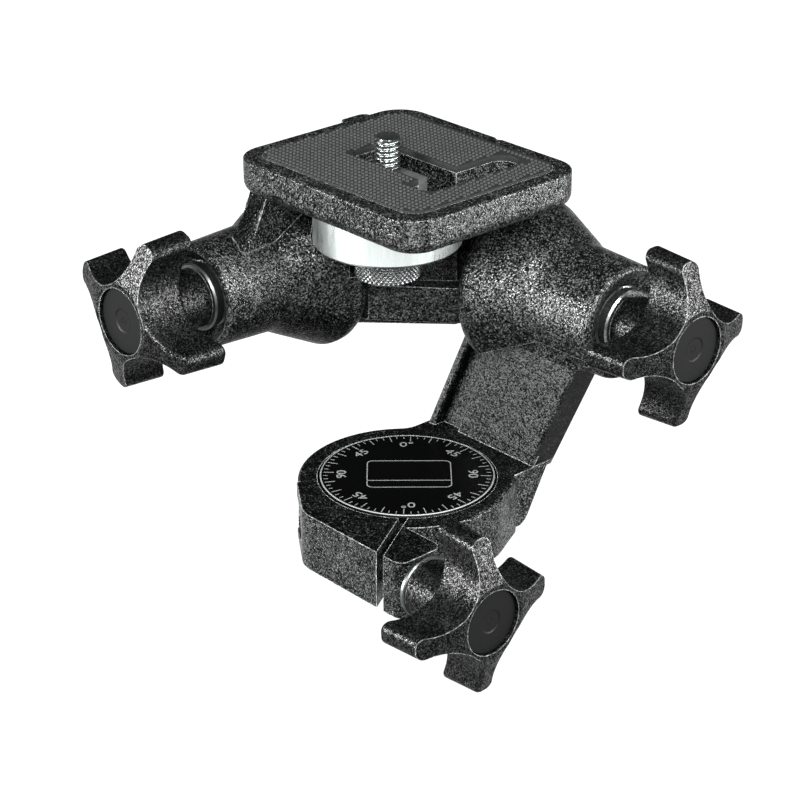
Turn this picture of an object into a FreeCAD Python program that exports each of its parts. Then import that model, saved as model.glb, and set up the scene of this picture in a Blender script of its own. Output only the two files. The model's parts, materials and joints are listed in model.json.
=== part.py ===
import FreeCAD, Part
import Sketcher
import math
import os

# Three-way pan tilt head. Millimetres, +Z up, origin at the centre of the
# base's mounting face. +X is the outward axis of the right knob, -Y the
# outward axis of the left knob.

V = FreeCAD.Vector
ROT = FreeCAD.Rotation
doc = FreeCAD.newDocument("PanTiltHead")
sheet = doc.addObject("Spreadsheet::Sheet", "Sizes")


class Q:
    """A number that remembers the expression it came from."""

    def __init__(self, v, e):
        self.v = float(v)
        self.e = e

    def __add__(self, o):
        return Q(self.v + num(o), "(%s + %s)" % (self.e, txt(o)))

    def __radd__(self, o):
        return Q(num(o) + self.v, "(%s + %s)" % (txt(o), self.e))

    def __sub__(self, o):
        return Q(self.v - num(o), "(%s - %s)" % (self.e, txt(o)))

    def __rsub__(self, o):
        return Q(num(o) - self.v, "(%s - %s)" % (txt(o), self.e))

    def __mul__(self, o):
        return Q(self.v * num(o), "(%s * %s)" % (self.e, txt(o)))

    def __rmul__(self, o):
        return Q(num(o) * self.v, "(%s * %s)" % (txt(o), self.e))

    def __truediv__(self, o):
        return Q(self.v / num(o), "(%s / %s)" % (self.e, txt(o)))

    def __neg__(self):
        return Q(-self.v, "(0 - %s)" % self.e)


def num(v):
    return v.v if isinstance(v, Q) else float(v)


def txt(v):
    if isinstance(v, Q):
        return v.e
    return "%.6f" % v if v >= 0 else "(0 - %.6f)" % (-v)


ROW = [0]


def size(name, value, note=""):
    ROW[0] += 1
    sheet.set("A%d" % ROW[0], name)
    sheet.set("B%d" % ROW[0], repr(float(value)))
    sheet.setAlias("B%d" % ROW[0], name)
    sheet.set("C%d" % ROW[0], note)
    return Q(value, "Sizes." + name)


# ---------------------------------------------------------------- sizes
base_flange_rad = size("base_flange_rad", 24.0, "base flange")
base_flange_thk = size("base_flange_thk", 2.5)
spindle_rad = size("spindle_rad", 18.0, "pan spindle")
spindle_top = size("spindle_top", 14.3)
tripod_rad = size("tripod_rad", 4.76, "3/8-16 tripod thread, major radius")
bush_rad = size("bush_rad", 8.0)
bush_len = size("bush_len", 10.0)
clip_z = size("clip_z", 12.5)
dial_rad = size("dial_rad", 22.0)
dial_top = size("dial_top", 16.2)

collar_rad = size("collar_rad", 27.15)
collar_bot = size("collar_bot", 0.9)
collar_top = size("collar_top", 15.8)
ear_x = size("ear_x", 32.2, "side face of the split ear")
ear_y = size("ear_y", -31.6, "front face of the split ear")
ear_back = size("ear_back", -18.4)
split_width = size("split_width", 2.0)
bolt_y = size("bolt_y", -24.0)
bolt_z = size("bolt_z", 7.5)
bolt_rad = size("bolt_rad", 4.0)

lean_x = size("lean_x", 0.56, "riser lean, mm in X per mm of height")
lean_y = size("lean_y", -0.147, "riser lean, mm in Y per mm of height")
riser_left = size("riser_left", -17.1, "riser left edge at z 18.8")
riser_right = size("riser_right", 19.5)
riser_front = size("riser_front", 24.0)
riser_thk = size("riser_thk", 9.5)
rim_width = size("rim_width", 2.6)
panel_left = size("panel_left", -7.7)
panel_deep = size("panel_deep", 3.4, "depth of the channel beside the panel")
panel_bot = size("panel_bot", 19.6)
rim_top = size("rim_top", 50.4)

rt_y = size("rt_y", 29.7, "right tilt axis")
rt_z = size("rt_z", 62.4)
rt_face = size("rt_face", 6.3, "right bell inner flange face")
lt_x = size("lt_x", -30.65, "left tilt axis")
lt_z = size("lt_z", 65.6)
lt_face = size("lt_face", 2.1, "left bell inner flange face, minus Y")
bell_len = size("bell_len", 37.7)
bell_flange_rad = size("bell_flange_rad", 21.2)
bell_front_rad = size("bell_front_rad", 17.6)
bell_neck_root = size("bell_neck_root", 14.7, "right bell neck at the cone")
bell_neck_rad = size("bell_neck_rad", 14.0, "right bell neck at the end")
left_neck_root = size("left_neck_root", 13.5)
left_neck_rad = size("left_neck_rad", 12.8)
bell_cone_end = size("bell_cone_end", 19.3)
cup_rad = size("cup_rad", 13.0)
cup_deep = size("cup_deep", 12.0)
shaft_rad = size("shaft_rad", 6.0)
stud_rad = size("stud_rad", 4.0)
drum_rad = size("drum_rad", 11.85)

knob_tip_back = size("knob_tip_back", 21.3)
knob_tip_front = size("knob_tip_front", 20.6)
knob_tip_set = size("knob_tip_set", -1.0, "back of the lobes' tips")
knob_tip_deep = size("knob_tip_deep", 10.4)
knob_face = size("knob_face", 14.3)
knob_hub_rad = size("knob_hub_rad", 7.2)
scallop_rad = size("scallop_rad", 13.1)
scallop_off = size("scallop_off", 22.1)
right_knob_x = size("right_knob_x", 51.1)
left_knob_y = size("left_knob_y", 47.8)
clamp_knob_x = size("clamp_knob_x", 40.9)

plate_x0 = size("plate_x0", -32.05)
plate_x1 = size("plate_x1", 31.1)
plate_y = size("plate_y", 27.5)
plate_bot = size("plate_bot", 89.2)
plate_top = size("plate_top", 97.85)
pad_x0 = size("pad_x0", -27.9)
pad_x1 = size("pad_x1", 27.0)
pad_y = size("pad_y", 23.2)
pad_bot = size("pad_bot", 96.85)
pad_top = size("pad_top", 98.65)
slot_x0 = size("slot_x0", -13.3)
slot_y0 = size("slot_y0", -7.0)
slot_y1 = size("slot_y1", 4.9)
cross_x0 = size("cross_x0", 11.2)
cross_x1 = size("cross_x1", 19.6)
cross_y0 = size("cross_y0", -11.6)
cross_y1 = size("cross_y1", 19.8)
screw_x = size("screw_x", -4.2)
screw_y = size("screw_y", -2.6)
screw_rad = size("screw_rad", 3.175, "1/4-20 camera screw, major radius")
screw_top = size("screw_top", 103.9)
ring_rad = size("ring_rad", 17.7)
ring_bot = size("ring_bot", 77.5)
ring_top = size("ring_top", 88.9)
thumb_rad = size("thumb_rad", 7.9)
thumb_bot = size("thumb_bot", 68.8)
doc.recompute()


# ------------------------------------------------------------- helpers
def bind(obj, prop, q):
    if isinstance(q, Q):
        obj.setExpression(prop, q.e)


def setnum(obj, prop, q):
    setattr(obj, prop, num(q))
    bind(obj, prop, q)


def place(obj, x, y, z, rot=None):
    obj.Placement = FreeCAD.Placement(V(num(x), num(y), num(z)), rot or ROT())
    bind(obj, "Placement.Base.x", x)
    bind(obj, "Placement.Base.y", y)
    bind(obj, "Placement.Base.z", z)
    return obj


def poly(sk, pts):
    """Closed line loop; each corner is held by its two sheet coordinates."""
    n = len(pts)
    at = sk.GeometryCount
    geo = []
    for i in range(n):
        a, b = pts[i], pts[(i + 1) % n]
        geo.append(Part.LineSegment(V(num(a[0]), num(a[1]), 0),
                                    V(num(b[0]), num(b[1]), 0)))
    sk.addGeometry(geo, False)
    cons, exps = [], []
    for i in range(n):
        cons.append(Sketcher.Constraint("Coincident", at + i, 2,
                                        at + (i + 1) % n, 1))
    for i in range(n):
        for k, kind, axis in ((0, "DistanceX", -2), (1, "DistanceY", -1)):
            q = pts[i][k]
            if abs(num(q)) < 1e-9:
                cons.append(Sketcher.Constraint("PointOnObject", at + i, 1, axis))
            else:
                if isinstance(q, Q):
                    exps.append((sk.ConstraintCount + len(cons), q.e))
                cons.append(Sketcher.Constraint(kind, -1, 1, at + i, 1, num(q)))
    sk.addConstraint(cons)
    for idx, e in exps:
        sk.setExpression("Constraints[%d]" % idx, e)


def ring(sk, cx, cy, r):
    at = sk.GeometryCount
    sk.addGeometry(Part.Circle(V(num(cx), num(cy), 0), V(0, 0, 1), num(r)), False)
    for kind, q in (("DistanceX", cx), ("DistanceY", cy)):
        if abs(num(q)) < 1e-9:
            sk.addConstraint(Sketcher.Constraint(
                "PointOnObject", at, 3, -2 if kind == "DistanceX" else -1))
        else:
            i = sk.addConstraint(Sketcher.Constraint(kind, -1, 1, at, 3, num(q)))
            bind(sk, "Constraints[%d]" % i, q)
    i = sk.addConstraint(Sketcher.Constraint("Radius", at, num(r)))
    bind(sk, "Constraints[%d]" % i, r)


def origin_plane(body, role):
    for f in body.Origin.OriginFeatures:
        if getattr(f, "Role", "") == role:
            return f
    raise RuntimeError(role)


def body_sketch(body, name, role):
    sk = body.newObject("Sketcher::SketchObject", name)
    sk.AttachmentSupport = [(origin_plane(body, role), "")]
    sk.MapMode = "FlatFace"
    return sk


def turned(name, pts):
    """Body turned about its own Z; pts are (radius, height) corners."""
    body = doc.addObject("PartDesign::Body", name)
    sk = body_sketch(body, name + "_profile", "XZ_Plane")
    poly(sk, pts)
    rv = body.newObject("PartDesign::Revolution", name + "_turn")
    rv.Profile = sk
    rv.ReferenceAxis = (sk, ["V_Axis"])
    rv.Angle = 360
    sk.Visibility = False
    body.Tip = rv
    doc.recompute()
    return body


def dress(body, kind, name, r, pred):
    """Fillet or chamfer on the body's tip, on the edges that pred picks."""
    doc.recompute()
    tip = body.Tip
    sh = tip.Shape
    ids = [i for i, e in enumerate(sh.Edges, 1) if pred(e)]
    keep = []
    test = sh.makeFillet if kind == "Fillet" else sh.makeChamfer
    try:
        ok = test(num(r), [sh.Edges[i - 1] for i in ids]).isValid()
    except Exception:
        ok = False
    if ok:
        keep = ids
    else:
        for i in ids:
            try:
                if test(num(r), [sh.Edges[j - 1] for j in keep + [i]]).isValid():
                    keep.append(i)
            except Exception:
                pass
    if not keep:
        return
    f = body.newObject("PartDesign::" + kind, name)
    f.Base = (tip, ["Edge%d" % i for i in keep])
    setnum(f, "Radius" if kind == "Fillet" else "Size", r)
    body.Tip = f
    doc.recompute()
    if not f.isValid() or f.Shape.isNull() or not f.Shape.isValid():
        body.removeObject(f)
        doc.removeObject(f.Name)
        body.Tip = tip
        doc.recompute()


def circle_at(z, r, tol=0.05):
    def pred(e):
        c = e.Curve
        if c.TypeId != "Part::GeomCircle":
            return False
        return abs(c.Center.z - num(z)) < tol and abs(c.Radius - num(r)) < tol
    return pred


def cyl(name, r, h, x, y, z, rot=None):
    o = doc.addObject("Part::Cylinder", name)
    setnum(o, "Radius", r)
    setnum(o, "Height", h)
    return place(o, x, y, z, rot)


def box(name, x0, x1, y0, y1, z0, z1):
    o = doc.addObject("Part::Box", name)
    setnum(o, "Length", x1 - x0)
    setnum(o, "Width", y1 - y0)
    setnum(o, "Height", z1 - z0)
    return place(o, x0, y0, z0)


def prism(name, pts, z, length, way=(0, 0, 1), rot=None, at=(0, 0)):
    """Sketch polygon drawn on a plane at height z, extruded along way."""
    sk = doc.addObject("Sketcher::SketchObject", name + "_outline")
    place(sk, at[0], at[1], z, rot)
    poly(sk, pts)
    ex = doc.addObject("Part::Extrusion", name)
    ex.Base = sk
    ex.DirMode = "Custom"
    ex.Dir = V(*[num(w) for w in way])
    for k, w in zip("xyz", way):
        bind(ex, "Dir." + k, w)
    ex.Solid = True
    setnum(ex, "LengthFwd", length)
    doc.recompute()
    return ex


def fuse(name, *objs):
    o = doc.addObject("Part::MultiFuse", name)
    o.Shapes = list(objs)
    o.Refine = True
    return o


def cut(name, base, *tools):
    for i, t in enumerate(tools):
        o = doc.addObject("Part::Cut", "%s_%d" % (name, i) if i < len(tools) - 1 else name)
        o.Base = base
        o.Tool = t
        o.Refine = True
        base = o
    doc.recompute()
    return base


def rounded(name, base, r, pred):
    """Part fillet on the edges that pred picks and that take the radius."""
    doc.recompute()
    sh = base.Shape
    ids = [i for i, e in enumerate(sh.Edges, 1) if pred(e)]
    keep = []

    def good(lst):
        try:
            t = sh.makeFillet(num(r), [sh.Edges[i - 1] for i in lst])
            return (not t.isNull()) and t.isValid() and len(t.Solids) == 1 and \
                t.Volume > 0.5 * sh.Volume
        except Exception:
            return False
    if ids and good(ids):
        keep = ids
    else:
        for i in ids:
            if good(keep + [i]):
                keep.append(i)
    if not keep:
        return base
    f = doc.addObject("Part::Fillet", name)
    f.Base = base
    f.Edges = [(i, num(r), num(r)) for i in keep]
    doc.recompute()
    if f.Shape.isNull() or not f.Shape.isValid():
        doc.removeObject(f.Name)
        return base
    return f


NODES = []


def node(obj, label):
    obj.Label = label
    NODES.append((label, obj))
    return obj


TO_X = ROT(V(0, 1, 0), 90)      # local Z becomes +X
TO_MY = ROT(V(1, 0, 0), 90)     # local Z becomes -Y

# ---------------------------------------------------------------- base
b = turned("pan_base", [
    (bush_rad, 0), (base_flange_rad, 0), (base_flange_rad, base_flange_thk),
    (spindle_rad, base_flange_thk), (spindle_rad, clip_z),
    (spindle_rad - 1.5, clip_z), (spindle_rad - 1.5, clip_z + 1),
    (spindle_rad, clip_z + 1), (spindle_rad, spindle_top),
    (0, spindle_top), (0, bush_len), (bush_rad, bush_len)])
dress(b, "Fillet", "pan_base_edge", 0.5, circle_at(0, base_flange_rad))
node(b, "pan_base")

b = turned("thread_bush", [
    (tripod_rad, 0), (bush_rad, 0), (bush_rad, bush_len), (tripod_rad, bush_len)])
node(b, "thread_bush")

b = turned("base_thrust_washer", [
    (spindle_rad + 0.15, base_flange_thk), (base_flange_rad - 2.4, base_flange_thk),
    (base_flange_rad - 2.4, base_flange_thk + 0.45),
    (spindle_rad + 0.15, base_flange_thk + 0.45)])
node(b, "base_thrust_washer")

b = turned("pan_circlip", [
    (spindle_rad - 1.4, clip_z + 0.05), (spindle_rad + 2.5, clip_z + 0.05),
    (spindle_rad + 2.5, clip_z + 0.95), (spindle_rad - 1.4, clip_z + 0.95)])
sk = body_sketch(b, "pan_circlip_gap", "XY_Plane")
poly(sk, [(0.0, 1.6), (0.0, -1.6), (spindle_rad + 4, -1.6), (spindle_rad + 4, 1.6)])
pk = b.newObject("PartDesign::Pocket", "pan_circlip_open")
pk.Profile = sk
pk.Type = 1
pk.Midplane = True
b.Tip = pk
doc.recompute()
node(b, "pan_circlip")

b = turned("pan_dial", [
    (0, spindle_top), (dial_rad, spindle_top), (dial_rad, dial_top - 0.5),
    (dial_rad - 0.5, dial_top), (0, dial_top)])
node(b, "pan_dial")


# ---------------------------------------------------------------- bells
def bell_profile(root, neck):
    """Outside of a tilt bell, heights from the inner flange face."""
    n = 6
    fr = bell_flange_rad - bell_front_rad
    arc = []
    for i in range(n + 1):
        a = math.radians(90.0 * i / n)
        arc.append((bell_front_rad + fr * math.sin(a), fr * (1 - math.cos(a))))
    rr = 1.2
    rim = []
    for i in range(5):
        a = math.radians(90.0 * i / 4)
        rim.append((neck - rr + rr * math.cos(a),
                    bell_len - rr + rr * math.sin(a)))
    return arc + [(bell_flange_rad, 4.6), (root + 1.6, bell_cone_end - 2.6),
                  (root + 0.5, bell_cone_end - 0.5),
                  (root, bell_cone_end + 1.0)] + rim


def bell_fill(name, root, neck):
    """A bell without its bores, to join castings before boring."""
    pts = [(0, 0)] + bell_profile(root, neck) + [(0, bell_len)]
    return turned(name, pts)


def bell_bores(name, neck):
    """Everything that is bored out of a bell."""
    pts = [(0, -0.5), (cup_rad, -0.5), (cup_rad, cup_deep),
           (shaft_rad + 0.1, cup_deep), (shaft_rad + 0.1, bell_len - 7.7),
           (8.45, bell_len - 7.7), (8.45, bell_len - 2.4),
           (neck - 1.4, bell_len), (neck - 1.4, bell_len + 0.5), (0, bell_len + 0.5)]
    return turned(name, pts)


# ---------------------------------------------------------- pan housing
collar = cyl("collar_form", collar_rad, collar_top - collar_bot, 0, 0, collar_bot)
side = prism("collar_side", [(19.3, 19.3), (24.6, 8.6), (25.25, 7.0), (25.7, 5.2),
                             (26.0, 3.2), (27.4, -7.0), (40.0, -7.0), (40.0, 19.3)],
             -1.0, 20.0)
collar = cut("collar_sided", collar, side)
ear = prism("ear_form", [(-15.8, -22.5), (-2.9, ear_y), (ear_x, ear_y),
                         (ear_x, ear_back), (14.0, ear_back), (0.0, -10.0),
                         (-10.0, -14.0)],
            collar_bot, collar_top - collar_bot)
ear = rounded("ear_round_a", ear, 9.0, lambda e: abs(e.BoundBox.XMin + 2.9) < 0.1
              and e.BoundBox.ZLength > 5)
ear = rounded("ear_round_b", ear, 2.6, lambda e: abs(e.BoundBox.XMin - num(ear_x)) < 0.1
              and e.BoundBox.ZLength > 5 and e.BoundBox.XLength < 0.1)
rz = 14.0
rx0 = riser_left + lean_x * (rz - 18.8)
rx1 = riser_right + lean_x * (rz - 18.8)
ry0 = riser_front + lean_y * (rz - 18.8)
ry1 = ry0 + riser_thk
foot = box("foot_form", rx0, rx1 + 1.1, 0.0 * ry0, ry1, collar_bot, collar_top)
foot = rounded("foot_round", foot, 3.0, lambda e: e.BoundBox.ZLength > 5
               and e.BoundBox.YMin > 20)
under = prism("foot_corner", [(7.4, 35.4), (15.6, 25.2), (17.2, 21.5), (60.0, 21.5),
                              (60.0, 70.0), (7.4, 70.0)], -1.0,
              17.0 * math.sqrt(0.56 ** 2 + 0.147 ** 2 + 1), (lean_x, lean_y, 1))
foot = cut("foot_trimmed", foot, under)
lean = (lean_x, lean_y, 1)
run = 46.0 * math.sqrt(0.56 ** 2 + 0.147 ** 2 + 1)
riser = prism("riser_form", [(rx0, ry0), (rx1, ry0), (rx1, ry1), (rx0, ry1)],
              rz, run, lean)
trim = box("riser_trim", -40.0 + 0 * rt_face, rt_face, 0.0 * ry0, 60.0 + 0 * ry0,
           rim_top, rim_top + 20)
# channel between the left rim and the raised panel, and the step below it
cx0 = rx0 + rim_width
cx1 = panel_left + lean_x * (rz - 18.8)
chan = prism("channel_form", [(cx0, ry0 - 6), (cx1, ry0 - 6), (cx1, ry0 + panel_deep),
                              (cx0, ry0 + panel_deep)], rz, run, lean)
step = prism("step_form", [(cx0 - 0.01, ry0 - 6), (rx1 + 6, ry0 - 6),
                           (rx1 + 6, ry0 + 1.9), (cx0 - 0.01, ry0 + 1.9)],
             rz, 5.6 * math.sqrt(0.56 ** 2 + 0.147 ** 2 + 1), lean)
rear = prism("rear_form", [(rx0 + 3.4, ry1 - 3.2), (rx1 - 3.4, ry1 - 3.2),
                           (rx1 - 3.4, ry1 + 6), (rx0 + 3.4, ry1 + 6)],
             22.0, 22.0 * math.sqrt(0.56 ** 2 + 0.147 ** 2 + 1), lean,
             at=(0.56 * 8.0, -0.147 * 8.0))
riser = cut("riser_shaped", riser, trim, chan, step, rear)


def panel_edge(e):
    """Left and lower borders of the raised panel's front face."""
    bb = e.BoundBox
    if bb.DiagonalLength < 12:
        return False
    for v in e.Vertexes:
        z = v.Point.z
        front = num(riser_front) + num(lean_y) * (z - 18.8)
        if abs(v.Point.y - front) > 0.1:
            return False
        if v.Point.x < num(panel_left) + 0.56 * (z - 18.8) - 0.3:
            return False
        if v.Point.x > num(riser_right) + 0.56 * (z - 18.8) - 0.3 and bb.ZLength > 5:
            return False
    return True


riser = rounded("panel_round", riser, 1.3, panel_edge)
rbell = place(bell_fill("right_bell_form", bell_neck_root, bell_neck_rad), rt_face, rt_y, rt_z, TO_X)
hous = fuse("housing_joined", collar, ear, foot, riser, rbell)
doc.recompute()


def concave_foot(e):
    """Inner corners where the foot and the riser's left edge meet the collar."""
    bb = e.BoundBox
    return bb.ZLength > 5 and bb.ZMax < 16.2 and bb.YMin > 14 and \
        bb.XLength < 0.1 and bb.YLength < 0.1 and bb.YMax < 27


hous = rounded("housing_round_a", hous, 6.0, concave_foot)
hous = rounded("housing_round_b", hous, 0.9, lambda e: e.BoundBox.ZMin > 15.7
               and e.BoundBox.ZMax < 15.9 and (e.BoundBox.YMax < 24.0))


def riser_edge(e):
    """Long straight edges that run up the leaning riser."""
    if len(e.Vertexes) != 2 or e.Length < 10 or e.Curve.TypeId != "Part::GeomLine":
        return False
    d = e.Vertexes[1].Point - e.Vertexes[0].Point
    d.normalize()
    w = V(num(lean_x), num(lean_y), 1)
    w.normalize()
    return abs(d.dot(w)) > 0.9995


hous = rounded("housing_round_c", hous, 0.7, riser_edge)
print("riser edges rounded:", len(getattr(hous, "Edges", [])))
brow_a = prism("panel_front_form", [(cx1 - 1.5, ry0 - 14), (rx1 + 3, ry0 - 14),
                                    (rx1 + 3, ry0), (cx1 - 1.5, ry0)], rz, run, lean)
brow_b = prism("panel_roof_form", [(4.0, 38.0), (46.0, 38.0), (46.0, 55.5),
                                   (39.7, 55.7), (27.7, 56.2), (9.1, 47.5),
                                   (4.0, 45.1)], 0, 34.0, way=(0, 1, 0), rot=TO_MY,
               at=(0, -5.0))
brow = doc.addObject("Part::Common", "panel_end_form")
brow.Base = brow_a
brow.Tool = brow_b
doc.recompute()
hb = place(bell_bores("right_bell_bores", bell_neck_rad), rt_face, rt_y, rt_z, TO_X)
collar_bore = turned("collar_bores", [
    (0, -1), (24.3, -1), (24.3, 3.0), (spindle_rad + 0.05, 3.0),
    (spindle_rad + 0.05, 12.3), (dial_rad + 0.3, 12.3), (dial_rad + 0.3, 17.0),
    (0, 17.0)])
split = prism("split_form", [(0.0, -1.0), (22.0, -1.0), (22.0, 1.0), (0.0, 1.0)],
              -1.0, 18.4, rot=ROT(V(0, 0, 1), -59.7), at=(14.2, -13.1))
bolt_bore = cyl("bolt_bore", bolt_rad + 0.15, 60.0, -10.0, bolt_y, bolt_z, TO_X)
bolt_seat = cyl("bolt_seat", 4.75, 38.0, -30.0, bolt_y, bolt_z, TO_X)
hous = cut("pan_housing_cut", hous, brow, hb, collar_bore, split, bolt_bore,
           bolt_seat)
node(hous, "pan_housing")

bolt_end = clamp_knob_x + 5.5
b = turned("clamp_bolt", [
    (0, 3.0), (4.6, 3.0), (4.6, 7.9), (bolt_rad, 7.9), (bolt_rad, bolt_end),
    (1.5, bolt_end), (1.5, bolt_end - 8), (0, bolt_end - 8)])
place(b, 0, bolt_y, bolt_z, TO_X)
node(b, "clamp_bolt")
b = turned("clamp_washer", [
    (bolt_rad + 0.15, ear_x), (7.8, ear_x), (7.8, ear_x + 0.7), (7.5, ear_x + 1.0),
    (bolt_rad + 0.15, ear_x + 1.0)])
place(b, 0, bolt_y, bolt_z, TO_X)
node(b, "clamp_washer")


# ------------------------------------------------ friction parts of a bell
def friction_parts(side, x, y, z, rot):
    c = turned(side + "_friction_cup", [
        (drum_rad + 0.05, 0.4), (cup_rad, 0.4), (cup_rad, cup_deep),
        (drum_rad + 0.05, cup_deep)])
    place(c, x, y, z, rot)
    node(c, side + "_friction_cup")
    w = turned(side + "_end_washer", [
        (shaft_rad + 0.1, bell_len - 1.7), (8.3, bell_len - 1.7),
        (8.3, bell_len + 0.1), (7.9, bell_len + 0.5), (shaft_rad + 0.1, bell_len + 0.5)])
    place(w, x, y, z, rot)
    node(w, side + "_end_washer")
    lo, pts_in, pts_out = bell_len - 7.7, [], []
    step_h = 1.5
    for i in range(5):
        near = i % 2 == 0
        zi = lo + step_h * i
        pts_out.append((8.2 + 0.0 * lo, zi + (0.9 if near and i < 4 else 0.0)))
        pts_in.append((6.15 + 0.0 * lo, zi + (0.0 if near else 0.0)))
    d = turned(side + "_disc_springs", [
        (6.15, lo), (8.2, lo + 0.5), (8.2, lo + 1.9), (7.2, lo + 2.4), (8.2, lo + 3.0),
        (8.2, lo + 4.3), (7.2, lo + 4.8), (8.2, lo + 5.3), (6.15, lo + 6.0)])
    place(d, x, y, z, rot)
    node(d, side + "_disc_springs")


friction_parts("right", rt_face, rt_y, rt_z, TO_X)
friction_parts("left", lt_x, -lt_face, lt_z, TO_MY)


# ------------------------------------------------------------ the knobs
def lobed_knob(name, hub, x, y, z, rot):
    back = -hub
    b = turned(name, [
        (5.6, back), (knob_hub_rad, back), (knob_hub_rad, 2.3),
        (knob_tip_back, knob_tip_set), (knob_tip_front, knob_tip_deep), (9.4, knob_face),
        (8.1, knob_face), (8.1, knob_face - 2.2), (5.6, knob_face - 2.2)])
    sk = body_sketch(b, name + "_scallop", "XY_Plane")
    ring(sk, scallop_off * math.cos(math.radians(45)),
         scallop_off * math.sin(math.radians(45)), scallop_rad)
    pk = b.newObject("PartDesign::Pocket", name + "_scallop_cut")
    pk.Profile = sk
    pk.Type = 1
    pk.Midplane = True
    b.Tip = pk
    doc.recompute()
    pp = b.newObject("PartDesign::PolarPattern", name + "_scallops")
    pp.Originals = [pk]
    pp.Axis = (sk, ["N_Axis"])
    pp.Angle = 360
    pp.Occurrences = 4
    b.Tip = pp
    doc.recompute()

    def tips(e):
        m = e.valueAt((e.FirstParameter + e.LastParameter) / 2)
        rad = math.hypot(m.x, m.y)
        if rad < 8.6:
            return False
        return m.z > 9.0 and abs(m.z - num(knob_face)) > 1e-3
    dress(b, "Fillet", name + "_corner", 2.2, lambda e: e.BoundBox.ZMin > -1.3
          and e.BoundBox.ZMin < 0.3 and e.BoundBox.ZLength > 8
          and math.hypot(e.CenterOfMass.x, e.CenterOfMass.y) > 15)
    dress(b, "Fillet", name + "_soft", 1.1, tips)
    dress(b, "Fillet", name + "_back", 0.7,
          lambda e: math.hypot(e.CenterOfMass.x, e.CenterOfMass.y) > 8.6
          and e.BoundBox.ZMax < 2.4 and e.BoundBox.ZMin > -1.5)
    place(b, x, y, z, rot)
    node(b, name)
    i = turned(name + "_insert", [
        (stud_rad + 0.05, back), (5.6, back), (5.6, 5.2), (stud_rad + 0.05, 5.2)])
    place(i, x, y, z, rot)
    node(i, name + "_insert")
    c = turned(name + "_cap", [
        (0, knob_face - 2.2), (8.1, knob_face - 2.2), (8.1, knob_face - 1.2),
        (7.8, knob_face - 0.9), (3.0, knob_face - 0.9), (2.6, knob_face - 1.05),
        (0, knob_face - 1.05)])
    place(c, x, y, z, rot)
    node(c, name + "_cap")


def retaining_screw(name, x, y, z, rot):
    s = turned(name, [
        (0, 5.5 - 7.5), (1.5, 5.5 - 7.5), (1.5, 5.5), (4.9, 5.5), (4.9, 7.4),
        (4.2, 8.4), (1.7, 8.4), (1.7, 6.9), (0, 6.9)])
    place(s, x, y, z, rot)
    node(s, name)


RIGHT_ROT = TO_X
LEFT_ROT = TO_MY.multiply(ROT(V(0, 0, 1), -19.5))
CLAMP_ROT = TO_X.multiply(ROT(V(0, 0, 1), 3.0))
lobed_knob("right_knob", 6.4, right_knob_x, rt_y, rt_z, RIGHT_ROT)
lobed_knob("left_knob", 7.4, lt_x, -left_knob_y, lt_z, LEFT_ROT)
lobed_knob("clamp_knob", 7.6, clamp_knob_x, bolt_y, bolt_z, CLAMP_ROT)
retaining_screw("right_knob_screw", right_knob_x, rt_y, rt_z, TO_X)
retaining_screw("left_knob_screw", lt_x, -left_knob_y, lt_z, TO_MY)
retaining_screw("clamp_knob_screw", clamp_knob_x, bolt_y, bolt_z, TO_X)


# ----------------------------------------------------------- tilt shafts
def tilt_shaft(name, inner, step_at, end, x, y, z, rot):
    s = turned(name, [
        (0, inner), (shaft_rad, inner), (shaft_rad, step_at), (stud_rad, step_at + 0.0),
        (stud_rad, end), (1.5, end), (1.5, end - 7.5), (0, end - 7.5)])
    sk = body_sketch(s, name + "_pin_sketch", "XZ_Plane")
    ring(sk, 0, inner + 4.0, 1.5)
    pk = s.newObject("PartDesign::Pocket", name + "_pin_hole")
    pk.Profile = sk
    pk.Type = 1
    pk.Midplane = True
    s.Tip = pk
    doc.recompute()
    place(s, x, y, z, rot)
    node(s, name)


# inner ends sit 11 mm behind the flange faces, inside the elbow's arms
tilt_shaft("right_tilt_shaft", -11.0, bell_len + 0.2, right_knob_x - rt_face + 5.5,
           rt_face, rt_y, rt_z, TO_X.multiply(ROT(V(0, 0, 1), 90)))
tilt_shaft("left_tilt_shaft", -11.0, bell_len + 0.2, left_knob_y - lt_face + 5.5,
           lt_x, -lt_face, lt_z, TO_MY)


# --------------------------------------------------------------- elbow
arm_rad = size("arm_rad", 13.3, "elbow arms")
doc.recompute()
arm1 = cyl("arm_right_form", arm_rad, -0.35 - lt_x, lt_x, rt_y, rt_z, TO_X)
neck1 = cyl("neck_right_form", 11.6, rt_face + 3.0 - lt_x, lt_x, rt_y, rt_z, TO_X)
drum1 = cyl("drum_right_form", drum_rad, 11.3, rt_face + 0.4, rt_y, rt_z, TO_X)
arm2 = cyl("arm_left_form", arm_rad, rt_y + 1.7, lt_x, rt_y, lt_z, TO_MY)
neck2 = cyl("neck_left_form", 11.6, rt_y + lt_face + 3.0, lt_x, rt_y, lt_z, TO_MY)
drum2 = cyl("drum_left_form", drum_rad, 11.3, lt_x, -lt_face - 0.4, lt_z, TO_MY)
corner = doc.addObject("Part::Sphere", "corner_form")
corner.Radius = 13.6
place(corner, lt_x, rt_y, (rt_z + lt_z) / 2)
gus = prism("gusset_form", [(5.9, 14.5), (5.9, 21.0), (0.2, 24.0), (0.2, 32.0),
                            (-30.0, 32.0), (-30.0, -1.7), (-12.2, -1.7)],
            54.0, 9.5)
web = prism("elbow_wall_form", [(0.2, 15.9), (0.2, 32.0), (-30.0, 32.0),
                                (-30.0, -1.7), (-17.4, -1.7)],
            52.0, 22.5)
elb = fuse("elbow_joined", arm1, neck1, drum1, arm2, neck2, drum2, corner, gus, web)
doc.recompute()
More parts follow.
